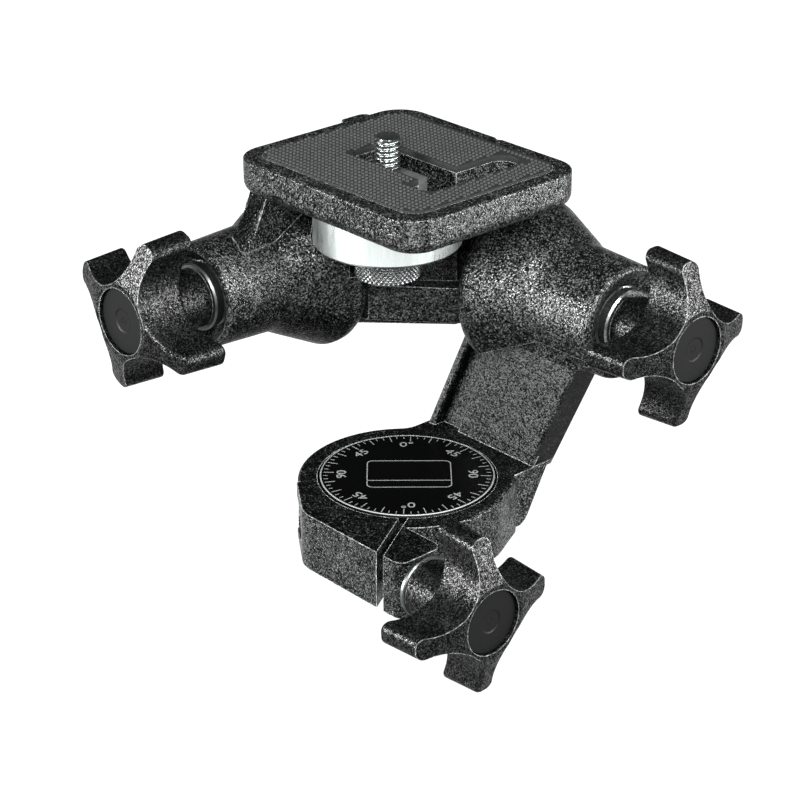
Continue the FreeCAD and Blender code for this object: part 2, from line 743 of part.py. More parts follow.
elb = rounded("elbow_round_a", elb, 1.2, lambda e: e.BoundBox.ZLength < 0.1
              and e.BoundBox.DiagonalLength > 15 and abs(e.BoundBox.ZMin - 54) < 0.1)
eb1 = cyl("elbow_bore_right", shaft_rad, 40.0, rt_face - 11.0, rt_y, rt_z, TO_X)
eb2 = cyl("elbow_bore_left", shaft_rad, 40.0, lt_x, 11.0 - lt_face, lt_z, TO_MY)
ep1 = cyl("elbow_pin_bore_right", 1.5, 40.0, rt_face - 7.0, rt_y, rt_z - 17.0)
ep2 = cyl("elbow_pin_bore_left", 1.5, 40.0, lt_x, 7.0 - lt_face, lt_z - 17.0)
elb = cut("elbow_link_cut", elb, eb1, eb2, ep1, ep2)
node(elb, "elbow_link")
p1 = cyl("right_elbow_pin", 1.5, 24.0, rt_face - 7.0, rt_y, rt_z - 12.0)
node(p1, "right_elbow_pin")
p2 = cyl("left_elbow_pin", 1.5, 24.0, lt_x, 7.0 - lt_face, lt_z - 12.5)
node(p2, "left_elbow_pin")


# -------------------------------------------------------------- platform
plate = box("plate_form", plate_x0, plate_x1, -plate_y, plate_y, plate_bot, plate_top)
plate = rounded("plate_corners", plate, 8.0, lambda e: e.BoundBox.ZLength > 5)
plate = rounded("plate_under", plate, 3.0, lambda e: e.BoundBox.ZMax < 89.7)
plate = rounded("plate_brow", plate, 0.6, lambda e: e.BoundBox.ZMin > 97.4)
lug = box("plate_lug", -34.3 + 0 * plate_bot, -30.0 + 0 * plate_bot,
          8.3 + 0 * plate_bot, 17.0 + 0 * plate_bot, plate_bot + 2.2, plate_top - 0.4)
lug = rounded("plate_lug_soft", lug, 2.0, lambda e: e.BoundBox.ZLength > 3
              and e.BoundBox.XMax < -34)
pweb = prism("plate_web", [(-22.9, 90.5), (-22.9 - 0.674 * 2, 87.6), (-31.7, 76.5),
                           (-33.5, 70.0), (-4.5, 70.0), (-4.5, 84.0), (-8.0, 90.5)],
             0, 6.2, way=(1, 0, 0), rot=ROT(V(1, 1, 1), 120), at=(-29.2, 0))
pweb = rounded("plate_web_soft", pweb, 1.5, lambda e: e.BoundBox.XLength < 0.1
               and e.BoundBox.YMax < -22 and e.BoundBox.ZLength > 5)
lbell = place(bell_fill("left_bell_form", left_neck_root, left_neck_rad), lt_x, -lt_face, lt_z, TO_MY)
plat = fuse("platform_joined", plate, lug, pweb, lbell)
lb = place(bell_bores("left_bell_bores", left_neck_rad), lt_x, -lt_face, lt_z, TO_MY)
recess = box("pad_recess", pad_x0 - 0.15, pad_x1 + 0.15, -pad_y - 0.15, pad_y + 0.15,
             pad_bot, plate_top + 1)
recess = rounded("pad_recess_corners", recess, 5.15, lambda e: e.BoundBox.ZLength > 1
                 and e.BoundBox.XLength < 0.1 and e.BoundBox.YLength < 0.1)


def slot_tools(tag):
    a = box("slot_long_" + tag, slot_x0, cross_x0 + 4, slot_y0, slot_y1,
            plate_bot - 3, pad_top + 1)
    a = rounded("slot_long_ends_" + tag, a, 2.8, lambda e: e.BoundBox.ZLength > 5
                and e.BoundBox.XMax < 0)
    c = box("slot_cross_" + tag, cross_x0, cross_x1, cross_y0, cross_y1,
            plate_bot - 3, pad_top + 1)
    c = rounded("slot_cross_ends_" + tag, c, 4.0, lambda e: e.BoundBox.ZLength > 5)
    return a, c


sa, sc = slot_tools("plate")
ring_relief = cyl("ring_relief", ring_rad + 0.7, plate_bot - ring_bot + 0.6,
                  screw_x, screw_y, ring_bot - 0.6)
thumb_relief = cyl("thumb_relief", thumb_rad + 1.2, 9.5, screw_x, screw_y,
                   thumb_bot - 0.8)
notch = cyl("edge_notch", 1.3, 12.0, 2.7, plate_y + 0.3, plate_bot - 1)
plat = cut("camera_plate_cut", plat, lb, recess, sa, sc, ring_relief, thumb_relief,
           notch)
node(plat, "camera_plate")

pad = box("pad_form", pad_x0, pad_x1, -pad_y, pad_y, pad_bot, pad_top)
pad = rounded("pad_corners", pad, 5.0, lambda e: e.BoundBox.ZLength > 1
              and e.BoundBox.XLength < 0.1 and e.BoundBox.YLength < 0.1)
pa, pc = slot_tools("pad")
pad = cut("rubber_pad_cut", pad, pa, pc)
node(pad, "rubber_pad")

block = box("bush_block", screw_x - 5.8, screw_x + 5.8, slot_y0 + 0.15, slot_y1 - 0.15,
            plate_bot - 1.0, plate_top - 4.5)
dish = cyl("bush_disc", 12.0, 0.9, screw_x, screw_y, ring_top - 0.8)
bush_bore = cyl("bush_bore", screw_rad + 0.06, 20.0, screw_x, screw_y, 85.0)
bush = cut("slider_bush_cut", fuse("bush_joined", block, dish), bush_bore)
node(bush, "slider_bush")

b = turned("lock_ring", [
    (screw_rad + 0.06, ring_bot), (ring_rad - 0.6, ring_bot), (ring_rad, ring_bot + 0.6),
    (ring_rad, ring_top - 0.4), (ring_rad - 0.4, ring_top), (12.3, ring_top),
    (12.3, ring_top - 1.0), (screw_rad + 0.06, ring_top - 1.0)])
place(b, screw_x, screw_y, 0)
node(b, "lock_ring")
b = turned("camera_screw", [
    (0, thumb_bot + 0.8), (screw_rad, thumb_bot + 0.8), (screw_rad, 91.0), (2.6, 91.0),
    (2.6, 95.5), (screw_rad, 95.5), (screw_rad, screw_top - 0.6),
    (screw_rad - 0.6, screw_top), (0, screw_top)])
place(b, screw_x, screw_y, 0)
node(b, "camera_screw")
b = turned("thumb_knob", [
    (0, thumb_bot), (thumb_rad - 0.6, thumb_bot), (thumb_rad, thumb_bot + 0.6),
    (thumb_rad, ring_bot - 0.9), (thumb_rad - 0.6, ring_bot - 0.3),
    (screw_rad, ring_bot - 0.3), (screw_rad, thumb_bot + 0.8), (0, thumb_bot + 0.8)])
place(b, screw_x, screw_y, 0)
node(b, "thumb_knob")

doc.recompute()

# ---------------------------------------------------------------- checks
bad = []
for o in doc.Objects:
    st = [s for s in o.State if s in ("Invalid", "Error")]
    if st:
        bad.append("%s %s" % (o.Name, st))
for label, o in NODES:
    sh = o.Shape
    if sh.isNull() or not sh.isValid():
        bad.append("%s has no valid shape" % label)
    elif len(sh.Solids) != 1:
        bad.append("%s has %d solids" % (label, len(sh.Solids)))
    bb = sh.BoundBox
    print("%-20s solids %d vol %9.1f  x %7.2f %7.2f  y %7.2f %7.2f  z %7.2f %7.2f" % (
        label, len(sh.Solids), sh.Volume, bb.XMin, bb.XMax, bb.YMin, bb.YMax,
        bb.ZMin, bb.ZMax))
if bad:
    raise RuntimeError("; ".join(bad))

os.makedirs("parts", exist_ok=True)
for label, o in NODES:
    o.Shape.exportStep("parts/%s.step" % label)
print("nodes", len(NODES))
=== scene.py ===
import bpy
import json
import math
from mathutils import Vector, Matrix


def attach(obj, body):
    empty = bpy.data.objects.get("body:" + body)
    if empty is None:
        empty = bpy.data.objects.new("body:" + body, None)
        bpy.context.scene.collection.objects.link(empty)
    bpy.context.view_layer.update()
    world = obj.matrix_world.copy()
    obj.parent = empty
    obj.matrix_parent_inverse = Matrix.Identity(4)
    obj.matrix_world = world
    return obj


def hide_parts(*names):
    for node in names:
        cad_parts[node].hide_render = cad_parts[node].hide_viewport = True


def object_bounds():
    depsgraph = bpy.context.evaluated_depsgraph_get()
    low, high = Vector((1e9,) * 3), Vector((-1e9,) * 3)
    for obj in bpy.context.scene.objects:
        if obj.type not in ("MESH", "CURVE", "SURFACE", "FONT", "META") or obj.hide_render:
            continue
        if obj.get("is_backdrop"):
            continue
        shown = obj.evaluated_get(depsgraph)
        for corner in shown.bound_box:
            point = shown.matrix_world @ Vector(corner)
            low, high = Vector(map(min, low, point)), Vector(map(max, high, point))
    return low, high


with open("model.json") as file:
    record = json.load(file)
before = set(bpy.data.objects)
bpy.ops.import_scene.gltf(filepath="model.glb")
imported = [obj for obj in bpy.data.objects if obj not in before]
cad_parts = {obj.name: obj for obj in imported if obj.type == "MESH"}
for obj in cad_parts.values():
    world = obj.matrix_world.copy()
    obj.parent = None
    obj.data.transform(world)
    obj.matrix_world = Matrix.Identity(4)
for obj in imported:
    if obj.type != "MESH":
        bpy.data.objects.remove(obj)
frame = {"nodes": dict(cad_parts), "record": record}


def plain(b):
    if isinstance(b, dict):
        return {str(k): plain(v) for k, v in b.items()}
    if hasattr(b, "__iter__") and not isinstance(b, str):
        return [plain(v) for v in b]
    try:
        return float(b)
    except (TypeError, ValueError):
        return str(b)


size_note = {"at_load": plain(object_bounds())}
MM = 0.001
nodes = frame["nodes"]


# ------------------------------------------------------------ materials
G = lambda v: (v * 0.93, v * 1.0, v * 0.985)


def new_mat(name):
    m = bpy.data.materials.new(name)
    m.use_nodes = True
    nt = m.node_tree
    nt.nodes.clear()
    out = nt.nodes.new("ShaderNodeOutputMaterial")
    bs = nt.nodes.new("ShaderNodeBsdfPrincipled")
    nt.links.new(bs.outputs["BSDF"], out.inputs["Surface"])
    return m, nt, bs


def coords(nt, scale=(1, 1, 1), rot=(0, 0, 0)):
    tc = nt.nodes.new("ShaderNodeTexCoord")
    mp = nt.nodes.new("ShaderNodeMapping")
    mp.inputs["Scale"].default_value = scale
    mp.inputs["Rotation"].default_value = rot
    nt.links.new(tc.outputs["Object"], mp.inputs["Vector"])
    return mp.outputs["Vector"]


def noise(nt, vec, scale, detail=2.0, rough=0.5):
    n = nt.nodes.new("ShaderNodeTexNoise")
    n.inputs["Scale"].default_value = scale
    n.inputs["Detail"].default_value = detail
    n.inputs["Roughness"].default_value = rough
    nt.links.new(vec, n.inputs["Vector"])
    return n.outputs["Fac"]


def ramp(nt, fac, stops, interp="LINEAR"):
    r = nt.nodes.new("ShaderNodeValToRGB")
    cr = r.color_ramp
    cr.interpolation = interp
    while len(cr.elements) < len(stops):
        cr.elements.new(0.5)
    for e, (p, c) in zip(cr.elements, stops):
        e.position = p
        e.color = (c[0], c[1], c[2], 1) if hasattr(c, "__len__") else (c, c, c, 1)
    nt.links.new(fac, r.inputs["Fac"])
    return r.outputs["Color"]


def bump(nt, bs, height, strength, dist):
    b = nt.nodes.new("ShaderNodeBump")
    b.inputs["Strength"].default_value = strength
    b.inputs["Distance"].default_value = dist
    nt.links.new(height, b.inputs["Height"])
    nt.links.new(b.outputs["Normal"], bs.inputs["Normal"])
    return b


def maths(nt, op, a, b, c=None):
    """Math node; each input is a socket or a number."""
    n = nt.nodes.new("ShaderNodeMath")
    n.operation = op
    for k, x in enumerate((a, b, c)):
        if x is None:
            continue
        if hasattr(x, "is_linked"):
            nt.links.new(x, n.inputs[k])
        else:
            n.inputs[k].default_value = x
    return n.outputs[0]


def facing(nt, v, way, lo, hi, zlo, zhi):
    """1 on faces that look along way between two local heights, else 0."""
    tc = nt.nodes.new("ShaderNodeTexCoord")
    d = nt.nodes.new("ShaderNodeVectorMath")
    d.operation = "DOT_PRODUCT"
    nt.links.new(tc.outputs["Normal"], d.inputs[0])
    d.inputs[1].default_value = way
    xyz = nt.nodes.new("ShaderNodeSeparateXYZ")
    nt.links.new(v, xyz.inputs[0])
    band = maths(nt, "MULTIPLY", maths(nt, "LESS_THAN", xyz.outputs[2], zhi),
                 maths(nt, "GREATER_THAN", xyz.outputs[2], zlo))
    return maths(nt, "MULTIPLY", ramp(nt, d.outputs["Value"], [(lo, 0.0), (hi, 1.0)]), band)


def speckled(name, stops, grain, rough=(0.40, 0.60), bumpd=0.00010, spec=0.2, edge_wear_and_highlight=0.8,
             painted_light_sides=()):
    """Wrinkle paint: a near-black coat of small domed grains, each with its own tone; edges are
    mixed towards pale grey, partly a worn coat and partly a painted highlight, and chosen sides
    get a painted highlight or painted shade.
    """
    m, nt, bs = new_mat(name)
    v = coords(nt)
    vor = nt.nodes.new("ShaderNodeTexVoronoi")
    vor.inputs["Scale"].default_value = 1.0 / grain
    vor.inputs["Randomness"].default_value = 1.0
    nt.links.new(v, vor.inputs["Vector"])
    sep = nt.nodes.new("ShaderNodeSeparateColor")
    nt.links.new(vor.outputs["Color"], sep.inputs["Color"])
    broad = noise(nt, v, 1.0 / (grain * 14), 2.0, 0.5)
    tone = maths(nt, "MULTIPLY_ADD", broad, 0.30, maths(nt, "ADD", sep.outputs[0], -0.15))
    gloss = maths(nt, "MULTIPLY_ADD", broad, 0.25, maths(nt, "ADD", sep.outputs[2], -0.12))
    # painted light and shade: faces that look along a chosen way between two heights get their
    # tone raised for a painted highlight or lowered for a painted shade, with gloss raised or
    # lowered to match
    for way, lo, hi, zlo, zhi, painted_light_tone, painted_light_gloss in painted_light_sides:
        side = facing(nt, v, way, lo, hi, zlo, zhi)
        tone = maths(nt, "MULTIPLY_ADD", side, painted_light_tone, tone)
        gloss = maths(nt, "MULTIPLY_ADD", side, painted_light_gloss, gloss)
    # lighter edges: the colour is mixed towards pale grey along every edge, partly a worn coat
    # and partly a painted highlight
    bev = nt.nodes.new("ShaderNodeBevel")
    bev.samples = 4
    bev.inputs["Radius"].default_value = 0.00045
    geo = nt.nodes.new("ShaderNodeNewGeometry")
    dot = nt.nodes.new("ShaderNodeVectorMath")
    dot.operation = "DOT_PRODUCT"
    nt.links.new(bev.outputs["Normal"], dot.inputs[0])
    nt.links.new(geo.outputs["Normal"], dot.inputs[1])
    edge = ramp(nt, dot.outputs["Value"], [(0.72, edge_wear_and_highlight), (0.97, 0.0)])
    sparse = ramp(nt, noise(nt, v, 1.0 / (grain * 5), 2.0, 0.6), [(0.35, 0.25), (0.6, 1.0)])
    mixer = nt.nodes.new("ShaderNodeMix")
    mixer.data_type = "RGBA"
    nt.links.new(maths(nt, "MULTIPLY", edge, sparse), mixer.inputs[0])
    nt.links.new(ramp(nt, tone, stops), mixer.inputs[6])
    nt.links.new(ramp(nt, sep.outputs[1], [(0.1, G(0.05)), (0.9, G(0.24))]),
                 mixer.inputs[7])
    nt.links.new(mixer.outputs[2], bs.inputs["Base Color"])
    nt.links.new(ramp(nt, sep.outputs[1], [(0.1, rough[1]), (0.9, rough[0])]),
                 bs.inputs["Roughness"])
    nt.links.new(ramp(nt, gloss, [(0.30, 0.02 * spec), (0.60, 0.22 * spec), (0.95, 1.15 * spec)]),
                 bs.inputs["Specular IOR Level"])
    dome = maths(nt, "SUBTRACT", 0.9, vor.outputs["Distance"])
    lift = maths(nt, "MULTIPLY_ADD", sep.outputs[2], 0.8, 0.2)
    bump(nt, bs, maths(nt, "MULTIPLY", dome, lift), 1.0, bumpd)
    return m


def metal(name, base, dark, rough=(0.12, 0.25), stretch=(1, 1, 1), scale=1500.0,
          strength=0.05, metallic=1.0):
    m, nt, bs = new_mat(name)
    v = coords(nt, stretch)
    n = noise(nt, v, scale, 3.0, 0.6)
    col = ramp(nt, n, [(0.3, dark), (0.7, base)])
    nt.links.new(col, bs.inputs["Base Color"])
    rg = ramp(nt, n, [(0.3, rough[1]), (0.7, rough[0])])
    nt.links.new(rg, bs.inputs["Roughness"])
    bs.inputs["Metallic"].default_value = metallic
    bump(nt, bs, n, strength, 0.00002)
    return m


def plastic(name, dark, light, grain, rough=(0.4, 0.6), strength=0.3, spec=0.5):
    m, nt, bs = new_mat(name)
    v = coords(nt)
    n = noise(nt, v, 1.0 / grain, 2.0, 0.55)
    col = ramp(nt, n, [(0.4, dark), (0.72, light)])
    nt.links.new(col, bs.inputs["Base Color"])
    rg = ramp(nt, n, [(0.35, rough[1]), (0.7, rough[0])])
    nt.links.new(rg, bs.inputs["Roughness"])
    bs.inputs["Specular IOR Level"].default_value = spec
    bump(nt, bs, n, strength, 0.00008)
    return m


paint = speckled("speckled_paint", [(0.0, G(0.0001)), (0.50, G(0.0004)),
                                    (0.78, G(0.0026)), (0.98, G(0.019))], 0.00030,
                 rough=(0.23, 0.36), bumpd=0.000085, spec=0.32, edge_wear_and_highlight=0.9)
knob_mat = speckled("knob_nylon", [(0.0, G(0.0001)), (0.50, G(0.0003)),
                                   (0.80, G(0.0009)), (0.98, G(0.0055))], 0.00027,
                    rough=(0.25, 0.36), bumpd=0.00005, spec=0.18, edge_wear_and_highlight=0.55)
cap_mat = plastic("cap_plastic", G(0.0002), G(0.0006), 0.0004, rough=(0.40, 0.55),
                  spec=0.04)
pad_mat = plastic("pad_rubber", G(0.0012), G(0.004), 0.0003, rough=(0.55, 0.75),
                  spec=0.10)
# lighter rubber for the tops of the pad's bumps: a painted highlight
pad_top_highlight_mat = plastic("pad_weave", G(0.005), G(0.014), 0.0004, rough=(0.45, 0.65),
                   spec=0.2)
ring_mat = metal("polished_ring", G(0.46), G(0.34), rough=(0.24, 0.34),
                 stretch=(1, 1, 0.08), scale=900.0, strength=0.03)
steel_mat = metal("plated_steel", G(0.15), G(0.06), rough=(0.20, 0.38))
# darker copy of the plated steel: painted shade for washers that sit in recesses
shaded_steel_mat = metal("shaded_steel", G(0.07), G(0.03), rough=(0.28, 0.42))
spring_mat = metal("blued_spring", G(0.20), G(0.10), rough=(0.25, 0.4))
alloy_mat = metal("turned_alloy", G(0.55), G(0.40), rough=(0.25, 0.4))
brass_mat = metal("turned_brass", (0.75, 0.56, 0.26), (0.55, 0.40, 0.17))
thumb_mat = metal("dark_knurl", G(0.06), G(0.018), rough=(0.22, 0.42), metallic=0.85)
dial_mat = plastic("dial_black", G(0.0001), G(0.0003), 0.0006, rough=(0.3, 0.42),
                   strength=0.08, spec=0.02)
mark_mat = plastic("dial_marks", G(0.030), G(0.050), 0.0006, rough=(0.45, 0.6),
                   strength=0.05)
nylon_mat = plastic("slider_nylon", G(0.008), G(0.02), 0.0008)

# painted light on the riser: the raised panel's face and its left border are painted brighter and
# glossier as a painted highlight, the riser's flank and the collar's top are painted darker and
# less glossy as painted shade
inv = nodes["pan_housing"].matrix_world.inverted()
z16, z51 = (inv @ Vector((0.0, 0.0, 16.3 * MM))).z, (inv @ Vector((0.0, 0.0, 51.0 * MM))).z
panel_painted_light = speckled("panel_painted_light", [(0.0, G(0.0001)), (0.50, G(0.0004)),
                                       (0.78, G(0.0026)), (0.98, G(0.021))], 0.00031,
                       rough=(0.23, 0.36), bumpd=0.000085, spec=0.32, edge_wear_and_highlight=0.9,
                       painted_light_sides=[((0.0, -0.9894, -0.1454), 0.955, 0.990, z16, z51, 0.22, 0.30),
                              ((-0.640, -0.728, 0.250), 0.90, 0.97, z16, z51, 0.42, 0.45),
                              ((0.8725, 0.0, -0.4886), 0.93, 0.98, z16, z51, -0.15, -0.9),
                              ((0.0, 0.0, 1.0), 0.96, 0.99, -1.0, z16, -0.12, -0.35)])

# painted light on the plate: its flank, its corner and the upper side of the bell's neck are
# painted brighter and glossier as a painted highlight, the web and the bell's underside are
# painted darker and less glossy as painted shade
inv = nodes["camera_plate"].matrix_world.inverted()
z74, z89 = (inv @ Vector((0.0, 0.0, 74.0 * MM))).z, (inv @ Vector((0.0, 0.0, 89.1 * MM))).z
plate_painted_light = speckled("plate_painted_light", [(0.0, G(0.0001)), (0.50, G(0.0004)),
                                       (0.78, G(0.0026)), (0.98, G(0.021))], 0.00031,
                       rough=(0.23, 0.36), bumpd=0.000085, spec=0.32, edge_wear_and_highlight=0.9,
                       painted_light_sides=[((1.0, 0.0, 0.0), 0.93, 0.98, z89, 1.0, 0.13, 0.16),
                              ((0.75, -0.66, 0.0), 0.96, 0.995, z89, 1.0, 0.20, 0.25),
                              ((0.0, -1.0, 0.0), 0.30, 0.60, z74, z89, -0.18, -0.30),
                              ((0.35, 0.0, -0.937), 0.50, 0.95, -1.0, z74, -0.22, -0.40),
                              ((0.72, 0.0, 0.69), 0.90, 0.98, -1.0, z89, 0.10, 0.14)])

by_slot = {
    "black_paint": paint, "knob_plastic": knob_mat, "cap_plastic": cap_mat,
    "pad_rubber": pad_mat, "bright_ring": ring_mat, "dial_print": dial_mat,
    "base_alloy": alloy_mat, "plated_steel": steel_mat, "spring_steel": spring_mat,
    "thumb_dark": thumb_mat, "slider_nylon": nylon_mat, "insert_brass": brass_mat,
}
slot_of = {s["node"]: s["material_slot"] for s in frame["record"]["subparts"]}
for name, ob in nodes.items():
    # the left end washer and the clamp washer get the darker copy of the steel: painted shade
    mat = shaded_steel_mat if name in ("left_end_washer", "clamp_washer") else by_slot[slot_of[name]]
    mat = {"pan_housing": panel_painted_light, "camera_plate": plate_painted_light}.get(name, mat)
    ob.data.materials.clear()
    ob.data.materials.append(mat)


# ------------------------------------------------------------ mesh help
def mesh_ob(name, verts, faces, mat, body, smooth_deg=35.0):
    me = bpy.data.meshes.new(name)
    me.from_pydata([tuple(v) for v in verts], [], faces)
    me.validate()
    me.update()
    for p in me.polygons:
        p.use_smooth = True
    try:
        me.set_sharp_from_angle(angle=math.radians(smooth_deg))
    except AttributeError:
        pass
    ob = bpy.data.objects.new(name, me)
    bpy.context.scene.collection.objects.link(ob)
    me.materials.append(mat)
    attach(ob, body)
    return ob


def height_turn(rows, na, fn, cx, cy):
    """Closed turned skin: rows of (z, radius), fn(theta, z, r) -> radius."""
    verts, faces = [], []
    for z, r in rows:
        for i in range(na):
            t = 2 * math.pi * i / na
            q = fn(t, z, r)
            verts.append((cx + q * math.cos(t), cy + q * math.sin(t), z))
    nr = len(rows)
    for j in range(nr - 1):
        for i in range(na):
            a = j * na + i
            b = j * na + (i + 1) % na
            faces.append((a, b, b + na, a + na))
    lo = len(verts)
    verts.append((cx, cy, rows[0][0]))
    hi = len(verts)
    verts.append((cx, cy, rows[-1][0]))
    for i in range(na):
        faces.append((lo, (i + 1) % na, i))
        k = (nr - 1) * na
        faces.append((hi, k + i, k + (i + 1) % na))
    return verts, faces


# ---------------------------------------------------------- camera screw
SX, SY = -4.2 * MM, -2.6 * MM
PITCH = 1.27 * MM
CREST, ROOT = 3.175 * MM, 2.42 * MM


def thread_r(t, z, r):
    if r < 3.0 * MM:
        return r
    f = (z / PITCH - t / (2 * math.pi)) % 1.0
    tri = abs(2 * f - 1)
    k = min(1.0, max(0.0, (tri - 0.10) / 0.78))
    q = ROOT + (CREST - ROOT) * k
    top = 103.9 * MM
    if z > top - 0.9 * MM:
        q = min(q, r)
    return q


rows = [(69.6 * MM, 3.1 * MM)]
z = 69.7
while z < 91.0:
    rows.append((z * MM, 3.175 * MM))
    z += 0.16
rows += [(91.0 * MM, 3.175 * MM), (91.05 * MM, 2.6 * MM), (95.45 * MM, 2.6 * MM),
         (95.5 * MM, 3.0 * MM)]
z = 95.6
while z < 103.2:
    rows.append((z * MM, 3.175 * MM))
    z += 0.085
rows += [(103.25 * MM, 3.15 * MM), (103.5 * MM, 3.02 * MM), (103.7 * MM, 2.99 * MM),
         (103.9 * MM, 2.58 * MM)]
v, f = height_turn(rows, 72, thread_r, SX, SY)
screw = mesh_ob("screw_thread", v, f, steel_mat, "camera_screw_body", 50)
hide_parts("camera_screw")

# ----------------------------------------------------------- thumb knob
KR, KD = 7.9 * MM, 0.42 * MM
NK = 40


def knurl_r(t, z, r):
    if r < KR - 0.01 * MM:
        return r
    p = z / (1.25 * MM)
    a = t * NK / (2 * math.pi)
    t1 = abs(2 * ((a + p) % 1.0) - 1)
    t2 = abs(2 * ((a - p) % 1.0) - 1)
    return KR - KD + KD * min(1.0, 1.5 * min(t1, t2))


rows = [(68.8 * MM, 7.0 * MM), (68.95 * MM, 7.2 * MM), (69.3 * MM, 7.45 * MM)]
z = 69.38
while z < 76.6:
    rows.append((z * MM, KR))
    z += 0.13
rows += [(76.65 * MM, 7.45 * MM), (77.05 * MM, 7.2 * MM), (77.2 * MM, 7.0 * MM)]
v, f = height_turn(rows, NK * 8, knurl_r, SX, SY)
knurl = mesh_ob("knurled_thumb", v, f, thumb_mat, "camera_screw_body", 60)
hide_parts("thumb_knob")


# ----------------------------------------------------------- rubber pad
src = nodes["rubber_pad"]
top = 98.65 * MM
low = 98.27 * MM
verts, faces = [], []
for vv in src.data.vertices:
    c = src.matrix_world @ vv.co
    verts.append((c.x, c.y, low if c.z > top - 0.1 * MM else c.z))
for p in src.data.polygons:
    faces.append(tuple(p.vertices))

PX0, PX1, PY = -27.9, 27.0, 23.2


def on_pad(x, y, m=0.45):
    """True where a bump of half-size m lies on the pad's top, in mm."""
    if not (PX0 + m < x < PX1 - m and -PY + m < y < PY - m):
        return False
    for cx, cy, r in ((PX0 + 5, -PY + 5, 5), (PX0 + 5, PY - 5, 5),
                      (PX1 - 5, -PY + 5, 5), (PX1 - 5, PY - 5, 5)):
        if abs(x - (PX0 + PX1) / 2) > abs(cx - (PX0 + PX1) / 2) and abs(y) > abs(cy) \
                and (x - cx) * (cx - (PX0 + PX1) / 2) > 0 and y * cy > 0:
            if math.hypot(x - cx, y - cy) > r - m:
                return False
    if -13.3 - m < x < 15.2 + m and -7.0 - m < y < 4.9 + m:
        return False
    if 11.2 - m < x < 19.6 + m and -11.6 - m < y < 19.8 + m:
        return False
    return True


def add_bump(x, y):
    """Low flat-topped diamond of the pad's weave."""
    n = 8
    base = len(verts)
    for ra, rb, zz in ((0.56, 0.51, low), (0.41, 0.37, top - 0.07 * MM)):
        for k in range(n):
            a = 2 * math.pi * k / n
            r = ra if k % 2 == 0 else rb * 0.93
            verts.append(((x + r * math.cos(a)) * MM, (y + r * math.sin(a)) * MM, zz))
    verts.append((x * MM, y * MM, top))
    for k in range(n):
        k2 = (k + 1) % n
        faces.append((base + k, base + k2, base + n + k2, base + n + k))
        faces.append((base + n + k, base + n + k2, base + 2 * n))


pad_faces = len(faces)
AX, BX, BY = 1.275, -0.35, 1.414
for j in range(-2, int(2 * PY / BY) + 2):
    for i in range(-20, 90):
        x = PX0 + 0.7 + i * AX + j * BX
        y = -PY + 0.75 + j * BY
        if on_pad(x, y, 0.58):
            add_bump(x, y)
pad = mesh_ob("pad_weave_top", verts, faces, pad_mat, "platform_body", 40)
# the bumps' flat tops get the lighter rubber: a painted highlight where light catches them
pad.data.materials.append(pad_top_highlight_mat)
for p in pad.data.polygons:
    if p.index >= pad_faces and p.center.z > top - 0.065 * MM:
        p.material_index = 1
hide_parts("rubber_pad")


# ------------------------------------------------------------ dial print
ZD = 16.2 * MM
TH = 0.035 * MM
dv, df = [], []


def bar(ang, r0, r1, w):
    """Radial tick from r0 to r1 (mm) of width w (mm)."""
    c, s = math.cos(ang), math.sin(ang)
    base = len(dv)
    for zz in (ZD, ZD + TH):
        for r, o in ((r0, -w / 2), (r1, -w / 2), (r1, w / 2), (r0, w / 2)):
            dv.append(((r * c - o * s) * MM, (r * s + o * c) * MM, zz))
    b = base
    df.extend([(b, b + 3, b + 2, b + 1), (b + 4, b + 5, b + 6, b + 7),
               (b, b + 1, b + 5, b + 4), (b + 1, b + 2, b + 6, b + 5),
               (b + 2, b + 3, b + 7, b + 6), (b + 3, b, b + 4, b + 7)])


for k in range(72):
    a = math.radians(5.0 * k)
    if k % 3 == 0:
        bar(a, 18.2, 20.8, 0.22)
    else:
        bar(a, 19.7, 20.8, 0.18)


# the camera's right direction on the ground is 48 degrees from +X
U = math.radians(48.0)


def flat_line(pts, w):
    """Printed line of width w (mm) through local points, right axis along U."""
    cu, su = math.cos(U), math.sin(U)
    n = len(pts)
    base = len(dv)
    for k in range(n):
        (x0, y0), (x1, y1) = pts[k - 1], pts[(k + 1) % n]
        tx, ty = x1 - x0, y1 - y0
        ln = math.hypot(tx, ty)
        nx_, ny_ = -ty / ln, tx / ln
        for side in (-w / 2, w / 2):
            lx, ly = pts[k][0] + side * nx_, pts[k][1] + side * ny_
            for zz in (ZD, ZD + TH):
                dv.append(((lx * cu - ly * su) * MM, (lx * su + ly * cu) * MM, zz))
    for k in range(n):
        a, b = base + 4 * k, base + 4 * ((k + 1) % n)
        df.extend([(a, a + 2, b + 2, b), (a + 1, b + 1, b + 3, a + 3),
                   (a, b, b + 1, a + 1), (a + 2, a + 3, b + 3, b + 2)])


